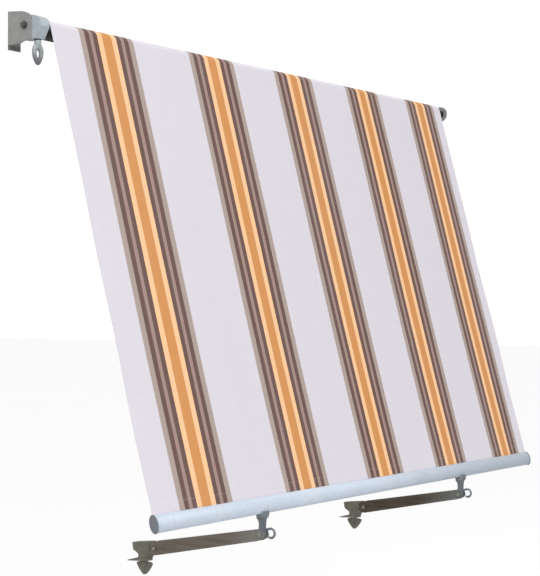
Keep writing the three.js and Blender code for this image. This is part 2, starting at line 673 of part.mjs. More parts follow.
// The slope's frame: its own Z runs up the cloth, level with the roller's axis
const slope = new THREE.Group();
slope.rotation.x = -SLOPE;
const hung = new THREE.Group();
hung.position.y = -ROLL_RADIUS;
hung.add(piece('fabric_sheet', clothSheet(), 'cloth'));
const bar = new THREE.Group();
bar.position.z = -SHEET_RUN;
bar.add(piece('front_bar', frontBar(), 'bar'));
const barKederReach = BAR_HALF_LENGTH - 2;
bar.add(piece('bar_keder', rodX(KEDER_RADIUS, -barKederReach, barKederReach, 0, BAR_GROOVE_AT, 10), 'keder'));
bar.add(piece('bar_cap_left', barCap(-1), 'cap'));
bar.add(piece('bar_cap_right', barCap(1), 'cap'));
hung.add(bar);
slope.add(hung);
rollerLine.add(slope);

const barY = -ROLLER_FROM_WALL - ROLL_RADIUS * Math.cos(SLOPE) - SHEET_RUN * Math.sin(SLOPE);
const barZ = ROLL_RADIUS * Math.sin(SLOPE) - SHEET_RUN * Math.cos(SLOPE);

function railingArm(side) {
  const hanger = new THREE.Group();
  hanger.position.set(ARM_X[side], barY, barZ);
  hanger.add(piece(`${side}_hanger_post`, hangerPost(), 'casting'));
  hanger.add(piece(`${side}_hanger_tee_bolt`, hangerTeeBolt(), 'steel'));
  const arm = new THREE.Group();
  arm.position.set(0, -PIVOT_OUT_OF_BAR, -PIVOT_BELOW_BAR);
  arm.rotation.x = -ARM_DROOP;
  arm.add(piece(`${side}_arm_channel`, armChannel(), 'arm'));
  arm.add(piece(`${side}_arm_hook`, armHook(), 'casting'));
  arm.add(piece(`${side}_arm_bolt`, pivotBolt(0), 'steel'));
  arm.add(piece(`${side}_arm_nut`, pivotNut(0), 'steel'));
  const clamp = new THREE.Group();
  clamp.position.y = ARM_REACH;
  clamp.rotation.x = ARM_DROOP;
  clamp.add(piece(`${side}_clamp_head`, clampHead(), 'clamp'));
  clamp.add(piece(`${side}_clamp_bolt`, pivotBolt(0), 'steel'));
  clamp.add(piece(`${side}_clamp_nut`, pivotNut(0), 'steel'));
  clamp.add(piece(`${side}_clamp_jaw`, clampJaw(), 'clamp'));
  clamp.add(piece(`${side}_wing_screw`, wingScrew(), 'clamp'));
  arm.add(clamp);
  hanger.add(arm);
  return hanger;
}

awning.add(brackets, rollerLine, railingArm('left'), railingArm('right'));

export default awning;
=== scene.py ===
"""Looks of a striped drop awning: cloth, roller, front bar, crank gear and clamp arms."""
import json
import math

import bmesh
import bpy
from mathutils import Matrix, Vector


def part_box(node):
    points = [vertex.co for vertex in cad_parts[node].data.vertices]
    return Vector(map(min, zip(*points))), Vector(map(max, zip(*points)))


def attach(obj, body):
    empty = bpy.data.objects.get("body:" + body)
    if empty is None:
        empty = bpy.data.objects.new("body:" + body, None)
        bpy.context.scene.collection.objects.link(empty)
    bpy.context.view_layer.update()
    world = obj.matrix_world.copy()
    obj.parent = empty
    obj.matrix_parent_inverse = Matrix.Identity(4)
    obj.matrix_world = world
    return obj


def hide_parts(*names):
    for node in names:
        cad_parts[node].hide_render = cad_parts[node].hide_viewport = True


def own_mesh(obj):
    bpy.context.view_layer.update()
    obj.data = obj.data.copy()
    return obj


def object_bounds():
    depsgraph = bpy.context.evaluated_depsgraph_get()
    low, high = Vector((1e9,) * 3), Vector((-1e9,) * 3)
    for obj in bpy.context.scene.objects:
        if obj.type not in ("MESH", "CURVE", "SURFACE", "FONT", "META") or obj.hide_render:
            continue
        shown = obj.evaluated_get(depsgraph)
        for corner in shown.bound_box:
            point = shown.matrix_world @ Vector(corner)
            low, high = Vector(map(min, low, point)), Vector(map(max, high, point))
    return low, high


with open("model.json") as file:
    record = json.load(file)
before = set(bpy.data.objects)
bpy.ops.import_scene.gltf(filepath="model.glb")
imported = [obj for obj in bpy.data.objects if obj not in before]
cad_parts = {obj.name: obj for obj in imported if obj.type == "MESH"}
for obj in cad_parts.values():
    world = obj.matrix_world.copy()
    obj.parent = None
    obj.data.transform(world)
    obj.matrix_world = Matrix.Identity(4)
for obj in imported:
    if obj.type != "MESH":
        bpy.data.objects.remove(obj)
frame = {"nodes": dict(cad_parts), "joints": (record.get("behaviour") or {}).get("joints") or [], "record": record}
cad_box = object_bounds()
cad = frame["nodes"]
joints = {joint["name"]: joint for joint in frame["joints"]}


# ---------------------------------------------------------------- places

def middle(node):
    low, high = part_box(node)
    return (Vector(low) + Vector(high)) / 2


UP_SLOPE = Vector(joints["bar_raise"]["axis"])
OUT_SLOPE = Vector((0, -UP_SLOPE.z, UP_SLOPE.y))
ROLLER_AXIS = Vector(joints["roller_spin"]["pos_m"])
BAR_AXIS = Vector((0, middle("bar_cap_left").y, middle("bar_cap_left").z))
SHEET_LOW, SHEET_HIGH = (Vector(corner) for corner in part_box("fabric_sheet"))
CLOTH_WIDTH = SHEET_HIGH.x - SHEET_LOW.x
ROLL_RADIUS = (ROLLER_AXIS - BAR_AXIS).dot(-OUT_SLOPE)
SHEET_RUN = (ROLLER_AXIS - BAR_AXIS).dot(UP_SLOPE)
BAR_HALF_HEIGHT = 0.021
BAR_HALF_DEPTH = 0.0115
BAR_HALF_LENGTH = (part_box("front_bar")[1][0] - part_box("front_bar")[0][0]) / 2


def slope_frame(origin):
    """Matrix from a frame lying in the cloth (z up the slope, y to the wall) to the room."""
    turn = Matrix(((1, 0, 0), (0, UP_SLOPE.z, UP_SLOPE.y), (0, -UP_SLOPE.y, UP_SLOPE.z)))
    return Matrix.Translation(origin) @ turn.to_4x4()


# ---------------------------------------------------------------- node helpers

def socket(group, direction, name, kind, value=None):
    made = group.interface.new_socket(name=name, in_out=direction, socket_type=kind)
    if value is not None:
        made.default_value = value
    return made


def add(tree, kind, **settings):
    node = tree.nodes.new(kind)
    for name, value in settings.items():
        setattr(node, name, value)
    return node


def math_node(tree, operation, first, second=None, third=None, clamp=False):
    node = add(tree, "ShaderNodeMath", operation=operation, use_clamp=clamp)
    for index, value in enumerate((first, second, third)):
        if value is None:
            continue
        if isinstance(value, (int, float)):
            node.inputs[index].default_value = value
        else:
            tree.links.new(value, node.inputs[index])
    return node.outputs[0]


def mix_colour(tree, factor, first, second, blend="MIX"):
    node = add(tree, "ShaderNodeMix", data_type="RGBA", blend_type=blend)
    for index, value in ((0, factor), (6, first), (7, second)):
        if isinstance(value, (int, float)):
            node.inputs[index].default_value = value
        elif isinstance(value, (tuple, list)):
            node.inputs[index].default_value = (*value, 1)
        else:
            tree.links.new(value, node.inputs[index])
    return node.outputs[2]


def spread(tree, value, low, high, to_low=0.0, to_high=1.0):
    node = add(tree, "ShaderNodeMapRange")
    node.inputs[1].default_value = low
    node.inputs[2].default_value = high
    node.inputs[3].default_value = to_low
    node.inputs[4].default_value = to_high
    tree.links.new(value, node.inputs[0])
    return node.outputs[0]


def rgb(red, green, blue):
    """A paint-chart colour as linear light."""
    shares = [channel / 255 for channel in (red, green, blue)]
    return tuple(((share + 0.055) / 1.055) ** 2.4 if share > 0.04 else share / 12.92 for share in shares)


def noise(tree, vector, scale, detail=4.0, roughness=0.55, distortion=0.0):
    node = add(tree, "ShaderNodeTexNoise")
    node.inputs["Scale"].default_value = scale
    node.inputs["Detail"].default_value = detail
    node.inputs["Roughness"].default_value = roughness
    node.inputs["Distortion"].default_value = distortion
    tree.links.new(vector, node.inputs["Vector"])
    return node.outputs["Fac"]


def stretched(tree, vector, scale):
    node = add(tree, "ShaderNodeMapping")
    node.inputs["Scale"].default_value = scale
    tree.links.new(vector, node.inputs["Vector"])
    return node.outputs["Vector"]


# ---------------------------------------------------------------- shared effects

def make_weave():
    """Plain weave on a map in metres: threads over and under, with slubs."""
    group = bpy.data.node_groups.new("plain_weave", "ShaderNodeTree")
    socket(group, "INPUT", "Map", "NodeSocketVector")
    socket(group, "INPUT", "Thread pitch", "NodeSocketFloat", 0.0006)
    socket(group, "OUTPUT", "Height", "NodeSocketFloat")
    socket(group, "OUTPUT", "Thread shade", "NodeSocketFloat")
    inputs = group.nodes.new("NodeGroupInput")
    outputs = group.nodes.new("NodeGroupOutput")
    parts = add(group, "ShaderNodeSeparateXYZ")
    group.links.new(inputs.outputs["Map"], parts.inputs[0])
    across = math_node(group, "DIVIDE", parts.outputs[0], inputs.outputs["Thread pitch"])
    along = math_node(group, "DIVIDE", parts.outputs[1], inputs.outputs["Thread pitch"])
    warp = math_node(group, "PINGPONG", across, 0.5)
    weft = math_node(group, "PINGPONG", along, 0.5)
    parity = math_node(group, "ADD", math_node(group, "FLOOR", across), math_node(group, "FLOOR", along))
    over = math_node(group, "MODULO", math_node(group, "ABSOLUTE", parity), 2.0)
    under = math_node(group, "SUBTRACT", 1.0, over)
    height = math_node(group, "ADD", math_node(group, "MULTIPLY", warp, over),
                       math_node(group, "MULTIPLY", weft, under))
    group.links.new(math_node(group, "MULTIPLY", height, 2.0), outputs.inputs["Height"])
    slub_map = stretched(group, inputs.outputs["Map"], (900, 9, 1))
    pick_map = stretched(group, inputs.outputs["Map"], (9, 900, 1))
    slubs = math_node(group, "ADD", noise(group, slub_map, 1.0, 2), noise(group, pick_map, 1.0, 2))
    group.links.new(math_node(group, "MULTIPLY", slubs, 0.5), outputs.inputs["Thread shade"])
    return group


def make_stripes(centres, widths):
    """Distance from the nearest stripe group's middle, in shares of that group's width."""
    group = bpy.data.node_groups.new("stripe_groups", "ShaderNodeTree")
    socket(group, "INPUT", "Across", "NodeSocketFloat")
    socket(group, "OUTPUT", "Share", "NodeSocketFloat")
    inputs = group.nodes.new("NodeGroupInput")
    outputs = group.nodes.new("NodeGroupOutput")
    nearest = None
    for centre, width in zip(centres, widths):
        away = math_node(group, "SUBTRACT", inputs.outputs["Across"], centre)
        share = math_node(group, "DIVIDE", math_node(group, "ABSOLUTE", away), width)
        nearest = share if nearest is None else math_node(group, "MINIMUM", nearest, share)
    group.links.new(nearest, outputs.inputs["Share"])
    return group


def make_grain():
    """Fine surface unevenness: a speckle, a broad mottle and a height for bump."""
    group = bpy.data.node_groups.new("surface_grain", "ShaderNodeTree")
    socket(group, "INPUT", "Vector", "NodeSocketVector")
    socket(group, "INPUT", "Fine scale", "NodeSocketFloat", 900)
    socket(group, "INPUT", "Broad scale", "NodeSocketFloat", 18)
    for name in ("Speckle", "Mottle", "Height"):
        socket(group, "OUTPUT", name, "NodeSocketFloat")
    inputs = group.nodes.new("NodeGroupInput")
    outputs = group.nodes.new("NodeGroupOutput")
    fine = add(group, "ShaderNodeTexNoise")
    fine.inputs["Detail"].default_value = 3
    broad = add(group, "ShaderNodeTexNoise")
    broad.inputs["Detail"].default_value = 6
    broad.inputs["Roughness"].default_value = 0.6
    for node, scale in ((fine, "Fine scale"), (broad, "Broad scale")):
        group.links.new(inputs.outputs["Vector"], node.inputs["Vector"])
        group.links.new(inputs.outputs[scale], node.inputs["Scale"])
    group.links.new(fine.outputs["Fac"], outputs.inputs["Speckle"])
    group.links.new(spread(group, broad.outputs["Fac"], 0.3, 0.7), outputs.inputs["Mottle"])
    swell = math_node(group, "MULTIPLY", broad.outputs["Fac"], 2.0)
    height = math_node(group, "ADD", fine.outputs["Fac"], swell)
    group.links.new(height, outputs.inputs["Height"])
    return group


def make_wear():
    """Mixes a worn colour in at raised edges and in scattered rubs."""
    group = bpy.data.node_groups.new("edge_wear", "ShaderNodeTree")
    socket(group, "INPUT", "Vector", "NodeSocketVector")
    socket(group, "INPUT", "Base", "NodeSocketColor")
    socket(group, "INPUT", "Worn", "NodeSocketColor")
    socket(group, "INPUT", "Amount", "NodeSocketFloat", 0.6)
    socket(group, "OUTPUT", "Colour", "NodeSocketColor")
    socket(group, "OUTPUT", "Mask", "NodeSocketFloat")
    inputs = group.nodes.new("NodeGroupInput")
    outputs = group.nodes.new("NodeGroupOutput")
    edges = spread(group, add(group, "ShaderNodeNewGeometry").outputs["Pointiness"], 0.51, 0.58)
    rubs = spread(group, noise(group, inputs.outputs["Vector"], 160, 6, 0.65), 0.5, 0.68)
    broken = math_node(group, "MULTIPLY", edges, math_node(group, "ADD", rubs, 0.35))
    mask = math_node(group, "MULTIPLY", broken, inputs.outputs["Amount"], clamp=True)
    group.links.new(mix_colour(group, mask, inputs.outputs["Base"], inputs.outputs["Worn"]),
                    outputs.inputs["Colour"])
    group.links.new(mask, outputs.inputs["Mask"])
    return group


STRIPE_CENTRES = [0.204, 0.638, 1.035, 1.418, 1.783]
STRIPE_WIDTHS = [0.208, 0.203, 0.198, 0.192, 0.186]
WEAVE = make_weave()
STRIPES = make_stripes(STRIPE_CENTRES, STRIPE_WIDTHS)
GRAIN = make_grain()
WEAR = make_wear()


def use_group(tree, group, **values):
    node = add(tree, "ShaderNodeGroup", node_tree=group)
    for name, value in values.items():
        target = node.inputs[name.replace("_", " ")]
        if isinstance(value, (int, float)):
            target.default_value = value
        elif isinstance(value, (tuple, list)):
            target.default_value = (*value, 1)
        else:
            tree.links.new(value, target)
    return node


def new_material(name):
    material = bpy.data.materials.new(name)
    material.use_nodes = True
    tree = material.node_tree
    return material, tree, tree.nodes["Principled BSDF"]


def bump(tree, shader, height, strength, distance):
    node = add(tree, "ShaderNodeBump")
    node.inputs["Strength"].default_value = strength
    node.inputs["Distance"].default_value = distance
    tree.links.new(height, node.inputs["Height"])
    tree.links.new(node.outputs["Normal"], shader.inputs["Normal"])


# ---------------------------------------------------------------- finishes

def metal(name, base, worn, metallic, rough, wear=0.6, fine=900, broad=22, mottle=0.12, dent=0.00015,
          fade=None):
    """A cast, pressed or painted metal with mottling, edge wear and a fine bump.

    fade is a darker colour and the two heights between which it takes over going down; on the brackets this is
    painted shade on the foot."""
    material, tree, shader = new_material(name)
    place = add(tree, "ShaderNodeTexCoord").outputs["Object"]
    grain = use_group(tree, GRAIN, Vector=place, Fine_scale=fine, Broad_scale=broad)
    dark = tuple(c * (1 - mottle) for c in base)
    light = tuple(min(c * (1 + mottle), 1) for c in base)
    ground = mix_colour(tree, grain.outputs["Mottle"], dark, light)
    if fade:
        # Darker towards the bottom between the two heights: painted shade on the bracket foot, a darker lower loop
        # on the crank eye.
        darker_low_colour, high, low = fade
        parts = add(tree, "ShaderNodeSeparateXYZ")
        tree.links.new(place, parts.inputs[0])
        uneven = math_node(tree, "MULTIPLY", grain.outputs["Mottle"], 0.003)
        height = math_node(tree, "ADD", parts.outputs[2], uneven)
        ground = mix_colour(tree, spread(tree, height, high, low), ground, darker_low_colour)
    worked = use_group(tree, WEAR, Vector=place, Base=ground, Worn=worn, Amount=wear)
    tree.links.new(worked.outputs["Colour"], shader.inputs["Base Color"])
    tree.links.new(spread(tree, grain.outputs["Speckle"], 0.3, 0.7, rough - 0.07, rough + 0.09),
                   shader.inputs["Roughness"])
    shader.inputs["Metallic"].default_value = metallic
    bump(tree, shader, grain.outputs["Height"], 0.35, dent)
    return material


def plastic(name, base, rough, mottle=0.08):
    """Moulded plastic with a faint texture and softened gloss."""
    material, tree, shader = new_material(name)
    place = add(tree, "ShaderNodeTexCoord").outputs["Object"]
    grain = use_group(tree, GRAIN, Vector=place, Fine_scale=1500, Broad_scale=40)
    light = tuple(min(c * (1 + mottle) + 0.004, 1) for c in base)
    ground = mix_colour(tree, grain.outputs["Mottle"], base, light)
    tree.links.new(ground, shader.inputs["Base Color"])
    tree.links.new(spread(tree, grain.outputs["Speckle"], 0.3, 0.7, rough - 0.05, rough + 0.08),
                   shader.inputs["Roughness"])
    bump(tree, shader, grain.outputs["Height"], 0.25, 0.0001)
    return material


def arm_paint(name, base, streak, tip, tip_from, tip_to):
    """Weathered paint on a pressed arm: streaks along it and a cooler outer end."""
    material, tree, shader = new_material(name)
    place = add(tree, "ShaderNodeTexCoord").outputs["Object"]
    grain = use_group(tree, GRAIN, Vector=place, Fine_scale=700, Broad_scale=30)
    streaks = spread(tree, noise(tree, stretched(tree, place, (60, 5, 110)), 1.0, 5, 0.6), 0.42, 0.62)
    ground = mix_colour(tree, streaks, base, streak)
    parts = add(tree, "ShaderNodeSeparateXYZ")
    tree.links.new(place, parts.inputs[0])
    outer = spread(tree, parts.outputs[1], tip_from, tip_to)
    ground = mix_colour(tree, outer, ground, tip)
    mottled = mix_colour(tree, 0.25, ground, mix_colour(tree, grain.outputs["Mottle"], streak, base))
    worked = use_group(tree, WEAR, Vector=place, Base=mottled, Worn=rgb(150, 148, 142), Amount=0.5)
    tree.links.new(worked.outputs["Colour"], shader.inputs["Base Color"])
    tree.links.new(spread(tree, grain.outputs["Speckle"], 0.3, 0.7, 0.5, 0.68), shader.inputs["Roughness"])
    shader.inputs["Metallic"].default_value = 0.15
    bump(tree, shader, grain.outputs["Height"], 0.4, 0.0002)
    return material


def bar_coat():
    """Pale powder coat on an extrusion: fine die lines and a soft orange peel."""
    material, tree, shader = new_material("bar_powder_coat")
    place = add(tree, "ShaderNodeTexCoord").outputs["Object"]
    grain = use_group(tree, GRAIN, Vector=place, Fine_scale=420, Broad_scale=7)
    ground = mix_colour(tree, grain.outputs["Mottle"], rgb(198, 210, 226), rgb(210, 221, 234))
    lines = noise(tree, stretched(tree, place, (2, 900, 900)), 1.0, 2)
    worked = use_group(tree, WEAR, Vector=place, Base=ground, Worn=rgb(176, 182, 190), Amount=0.4)
    tree.links.new(worked.outputs["Colour"], shader.inputs["Base Color"])
    tree.links.new(spread(tree, grain.outputs["Speckle"], 0.3, 0.7, 0.4, 0.52), shader.inputs["Roughness"])
    shader.inputs["Metallic"].default_value = 0.08
    height = math_node(tree, "ADD", grain.outputs["Height"], math_node(tree, "MULTIPLY", lines, 0.6))
    bump(tree, shader, height, 0.3, 0.00012)
    return material


GROUND = rgb(222, 217, 225)
TAN = rgb(176, 159, 150)
DARK = rgb(108, 83, 76)
MAUVE = rgb(166, 139, 131)
CREAM = rgb(253, 203, 156)
ORANGE = rgb(215, 149, 86)
BANDS = [(0.0, ORANGE), (0.085, CREAM), (0.174, DARK), (0.254, MAUVE), (0.317, DARK), (0.4, TAN),
         (0.496, GROUND)]


def awning_cloth(stitch_rows=True):
    """Woven acrylic: stripes of dye along the drop, thread by thread, with painted shade between the threads and
    sewn hems.
    """
    material, tree, shader = new_material("awning_cloth" if stitch_rows else "awning_cloth_wound")
    cloth_map = add(tree, "ShaderNodeUVMap", uv_map="cloth").outputs["UV"]
    parts = add(tree, "ShaderNodeSeparateXYZ")
    tree.links.new(cloth_map, parts.inputs[0])
    across, along = parts.outputs[0], parts.outputs[1]
    fray = noise(tree, stretched(tree, cloth_map, (500, 60, 1)), 1.0, 2)
    shaken = math_node(tree, "ADD", across, spread(tree, fray, 0.0, 1.0, -0.0006, 0.0006))
    stripes = use_group(tree, STRIPES, Across=shaken)
    ramp = add(tree, "ShaderNodeValToRGB")
    ramp.color_ramp.interpolation = "CONSTANT"
    while len(ramp.color_ramp.elements) < len(BANDS):
        ramp.color_ramp.elements.new(0.5)
    for element, (position, colour) in zip(ramp.color_ramp.elements, BANDS):
        element.position = position
        element.color = (*colour, 1)
    tree.links.new(stripes.outputs["Share"], ramp.inputs[0])
    weave = use_group(tree, WEAVE, Map=cloth_map, Thread_pitch=0.0007)
    threads = spread(tree, weave.outputs["Thread shade"], 0.3, 0.7, 0.93, 1.05)
    # Darker where the weave is low, between the threads: painted shade in the gaps of the weave.
    painted_gap_shade = spread(tree, weave.outputs["Height"], 0.0, 0.35, 0.9, 1.0)
    shade = math_node(tree, "MULTIPLY", threads, painted_gap_shade)
    grey = add(tree, "ShaderNodeCombineColor")
    for channel in range(3):
        tree.links.new(shade, grey.inputs[channel])
    cloth_colour_with_gap_shade = mix_colour(tree, 1.0, ramp.outputs["Color"], grey.outputs[0], "MULTIPLY")
    weather = spread(tree, noise(tree, stretched(tree, cloth_map, (3.2, 1.1, 1)), 1.0, 4), 0.35, 0.7)
    cloth_colour_with_gap_shade = mix_colour(tree, math_node(tree, "MULTIPLY", weather, 0.04), cloth_colour_with_gap_shade, rgb(196, 200, 214))
    height = weave.outputs["Height"]
    if stitch_rows:
        in_from_edge = math_node(tree, "PINGPONG", across, CLOTH_WIDTH / 2)
        row = math_node(tree, "ABSOLUTE", math_node(tree, "SUBTRACT", in_from_edge, 0.018))
        low_row = math_node(tree, "ABSOLUTE", math_node(tree, "ADD", along, SHEET_RUN - 0.044))
        side = math_node(tree, "LESS_THAN", row, 0.00055)
        low = math_node(tree, "LESS_THAN", low_row, 0.00055)
        side_dash = math_node(tree, "GREATER_THAN", math_node(tree, "PINGPONG", along, 0.0018), 0.0004)
        low_dash = math_node(tree, "GREATER_THAN", math_node(tree, "PINGPONG", across, 0.0018), 0.0004)
        thread = math_node(tree, "MAXIMUM", math_node(tree, "MULTIPLY", side, side_dash),
                           math_node(tree, "MULTIPLY", low, low_dash))
        cloth_colour_with_gap_shade = mix_colour(tree, math_node(tree, "MULTIPLY", thread, 0.2), cloth_colour_with_gap_shade, rgb(240, 238, 232))
        groove = math_node(tree, "LESS_THAN", math_node(tree, "MINIMUM", row, low_row), 0.0012)
        height = math_node(tree, "ADD", height, math_node(tree, "MULTIPLY", thread, 2.0))
        height = math_node(tree, "SUBTRACT", height, groove)
    tree.links.new(cloth_colour_with_gap_shade, shader.inputs["Base Color"])
    dullness = spread(tree, weave.outputs["Thread shade"], 0.3, 0.7, 0.82, 0.95)
    tree.links.new(dullness, shader.inputs["Roughness"])
    shader.inputs["Sheen Weight"].default_value = 0.06
    shader.inputs["Specular IOR Level"].default_value = 0.15
    bump(tree, shader, height, 0.3, 0.0002)
    return material


FINISHES = {
    "galvanised": metal("galvanised_steel", rgb(148, 147, 145), rgb(176, 176, 174), 0.3, 0.55, broad=60,
                        mottle=0.16),
    # The bracket steel turns darker below z -33.5 mm: painted shade on the foot of the wall flange.
    "bracket": metal("bracket_steel_with_painted_foot_shade", rgb(148, 147, 145), rgb(178, 178, 176), 0.2, 0.55, broad=60,
                     mottle=0.16, fade=(rgb(100, 98, 96), -0.0335, -0.0375)),
    # The crank eye turns darker towards the bottom of its loop, below z -45 mm.
    "eye": metal("cast_eye_darker_below", rgb(164, 174, 173), rgb(188, 194, 196), 0.25, 0.5, broad=70, mottle=0.15,
                 fade=(rgb(116, 114, 120), -0.045, -0.076)),
    # The gear mount bolt and washer are a darker grey than the other fasteners.
    "dark_bolt": metal("dark_grey_bolt_steel", rgb(74, 72, 70), rgb(126, 124, 120), 0.4, 0.55, broad=90,
                       mottle=0.2),
    "hanger": metal("hanger_alloy", rgb(112, 117, 123), rgb(160, 166, 174), 0.25, 0.5, broad=60, mottle=0.18),
    "casting": metal("die_cast_alloy", rgb(170, 181, 188), rgb(205, 210, 214), 0.2, 0.5, broad=45),
    "hardware": metal("zinc_plated_fastener", rgb(150, 150, 148), rgb(190, 188, 180), 0.8, 0.36, broad=80),
    "brass": metal("greased_brass", rgb(176, 142, 76), rgb(214, 186, 120), 0.9, 0.35),
    # Black nylon for the bushes and roller plugs; on the left plug the black also stands in for shade at the
    # roll's end.
    "black_nylon_and_roll_end_shade": plastic("black_nylon_and_roll_end_shade", rgb(24, 25, 28), 0.5),
    "cap_plastic": plastic("grey_moulded_plastic", rgb(114, 118, 125), 0.5),
    "keder": plastic("white_keder_cord", rgb(222, 221, 216), 0.6),
    "arm_left": arm_paint("arm_taupe_paint", rgb(126, 118, 106), rgb(102, 93, 80), rgb(126, 127, 124),
                          -0.30, -0.42),
    "arm_right": arm_paint("arm_brown_paint", rgb(94, 81, 66), rgb(64, 52, 40), rgb(112, 116, 114),
                           -0.27, -0.40),
    "clamp": metal("clamp_olive_paint", rgb(118, 116, 104), rgb(150, 148, 136), 0.2, 0.58, broad=55,
                   mottle=0.22),
    "bar": bar_coat(),
    "cloth": awning_cloth(),
    "cloth_wound": awning_cloth(False),
}


def paint(piece, finish):
    piece.data.materials.clear()
    piece.data.materials.append(FINISHES[finish])


# ---------------------------------------------------------------- pieces

def to_object(bm, name, finish, body, angle=40):
    mesh = bpy.data.meshes.new(name)
    bm.normal_update()
    bm.to_mesh(mesh)
    bm.free()
    mesh.shade_smooth()
    mesh.set_sharp_from_angle(angle=math.radians(angle))
    piece = bpy.data.objects.new(name, mesh)
    bpy.context.scene.collection.objects.link(piece)
    paint(piece, finish)
    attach(piece, body)
    return piece


def rounded(piece, width, segments=2, angle=35):
    modifier = piece.modifiers.new("soft_edges", "BEVEL")
    modifier.width = width
    modifier.segments = segments
    modifier.limit_method = "ANGLE"
    modifier.angle_limit = math.radians(angle)
    modifier.harden_normals = False
    modifier.use_clamp_overlap = True


BODY_OF = {node: body for body, nodes in frame["record"]["behaviour"]["bodies"].items() for node in nodes}


def softened(node, finish, width=0.0005, segments=2, angle=35):
    """A made node again, its facets joined and its edges broken."""
    bm = bmesh.new()
    bm.from_mesh(cad[node].data)
    bmesh.ops.remove_doubles(bm, verts=bm.verts, dist=1e-6)
    bmesh.ops.dissolve_limit(bm, angle_limit=math.radians(0.6), verts=bm.verts, edges=bm.edges)
    piece = to_object(bm, f"{node}_finished", finish, BODY_OF[node], angle)
    if width:
        rounded(piece, width, segments, angle)
    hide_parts(node)
    return piece


# Cloth

WRAP_ROWS = 32
SHEET_ROWS = 72
SHEET_COLUMNS = 96
WRAP = 0.042
CLOTH_THICKNESS = 0.0005
HEM_BEHIND = 0.0006
HEM_WIDTH = 0.021
HEM_INSET = 0.0003


def sheet_point(across, along, behind=0.0):
    """Room point of the cloth, across its width and along the drop below the roller."""
    x = across - CLOTH_WIDTH / 2
    if along > 0:
        turn = along / ROLL_RADIUS
        radius = ROLL_RADIUS + 0.0002 - behind - 0.0006 * along / WRAP
        flat = Vector((x, -radius * math.cos(turn), radius * math.sin(turn)))
    else:
        down = -along / SHEET_RUN
        side = abs(2 * across / CLOTH_WIDTH - 1)
        hang = 6.75 * down ** 2 * (1 - down)
        belly = 0.004 * hang * (1 - 0.55 * side ** 3)
        ripple = 0.0011 * math.sin(15.0 * across + 1.7 * down) + 0.0007 * math.sin(34.0 * across - 4.0 * down)
        edge_curl = 0.0016 * max(side - 0.965, 0) / 0.035 * math.sin(17 * down)
        flat = Vector((x, -ROLL_RADIUS + behind + belly + hang * ripple + hang * edge_curl, along))
    return slope_frame(ROLLER_AXIS) @ flat


def cloth_panel(name, columns, rows, across_from, across_to, along_from, along_to, behind, thickness):
    """A grid of cloth laid on the sheet's own curve, with a map in metres."""
    bm = bmesh.new()
    bmesh.ops.create_grid(bm, x_segments=columns, y_segments=rows, size=0.5)
    layer = bm.loops.layers.uv.new("cloth")
    spots = {}
    for vert in bm.verts:
        across = across_from + (vert.co.x + 0.5) * (across_to - across_from)
        along = along_from + (vert.co.y + 0.5) * (along_to - along_from)
        spots[vert.index] = (across, along)
        vert.co = sheet_point(across, along, behind)
    for face in bm.faces:
        for loop in face.loops:
            loop[layer].uv = spots[loop.vert.index]
    bm.edges.index_update()
    borders = [edge.index for edge in bm.edges if edge.is_boundary]
    piece = to_object(bm, name, "cloth", "wall_set", 180)
    for index in borders:
        piece.data.edges[index].use_edge_sharp = True
    wall = piece.modifiers.new("cloth_thickness", "SOLIDIFY")
    wall.thickness = thickness
    wall.offset = 0
    return piece


def hang_cloth():
    foot = -SHEET_RUN + BAR_HALF_HEIGHT - 0.0015
    sheet = cloth_panel("awning_cloth", SHEET_COLUMNS, SHEET_ROWS, 0, CLOTH_WIDTH, foot, 0, 0.0,
                        CLOTH_THICKNESS)
    wrap = cloth_panel("cloth_over_roller", SHEET_COLUMNS, WRAP_ROWS, 0, CLOTH_WIDTH, 0, WRAP, 0.0,
                       CLOTH_THICKNESS)
    hems = [
        cloth_panel("cloth_hem_left", 2, SHEET_ROWS, HEM_INSET, HEM_WIDTH, foot, 0, HEM_BEHIND, CLOTH_THICKNESS),
        cloth_panel("cloth_hem_right", 2, SHEET_ROWS, CLOTH_WIDTH - HEM_WIDTH, CLOTH_WIDTH - HEM_INSET, foot, 0,
                    HEM_BEHIND, CLOTH_THICKNESS),
        cloth_panel("cloth_hem_bar", SHEET_COLUMNS, 2, 0.022, CLOTH_WIDTH - 0.022, foot, foot + 0.026,
                    HEM_BEHIND, CLOTH_THICKNESS),
    ]
    for piece in [sheet, *hems]:
        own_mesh(piece)
    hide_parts("fabric_sheet")


def wind_cloth():
    """The turns left on the roller: one tube of cloth, mapped like the sheet."""
    outer = ROLL_RADIUS - 0.0003
    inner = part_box("roller_tube")[1][2] + 0.0002
    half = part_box("fabric_roll")[1][0]
    bm = bmesh.new()
    section = ((-half, inner), (-half, outer), (half, outer), (half, inner))
    corners = [bm.verts.new((x, 0, radius)) for x, radius in section]
    for start, end in zip(corners, corners[1:] + corners[:1]):
        bm.edges.new((start, end))
    bmesh.ops.spin(bm, geom=bm.verts[:] + bm.edges[:], cent=(0, 0, 0), axis=(1, 0, 0), angle=2 * math.pi,
                   steps=96, use_merge=True)
    bmesh.ops.remove_doubles(bm, verts=bm.verts, dist=1e-6)
    bmesh.ops.recalc_face_normals(bm, faces=bm.faces)
    layer = bm.loops.layers.uv.new("cloth")
    for face in bm.faces:
        centre = face.calc_center_median()
        base = math.atan2(centre.z, centre.y)
        for loop in face.loops:
            turn = math.atan2(loop.vert.co.z, loop.vert.co.y)
            turn += 2 * math.pi * round((base - turn) / (2 * math.pi))
            loop[layer].uv = (loop.vert.co.x + CLOTH_WIDTH / 2, turn * ROLL_RADIUS)
    bmesh.ops.translate(bm, verts=bm.verts, vec=ROLLER_AXIS)
    piece = to_object(bm, "cloth_wound", "cloth_wound", "roller")
    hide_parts("fabric_roll")
    return piece


# Front bar

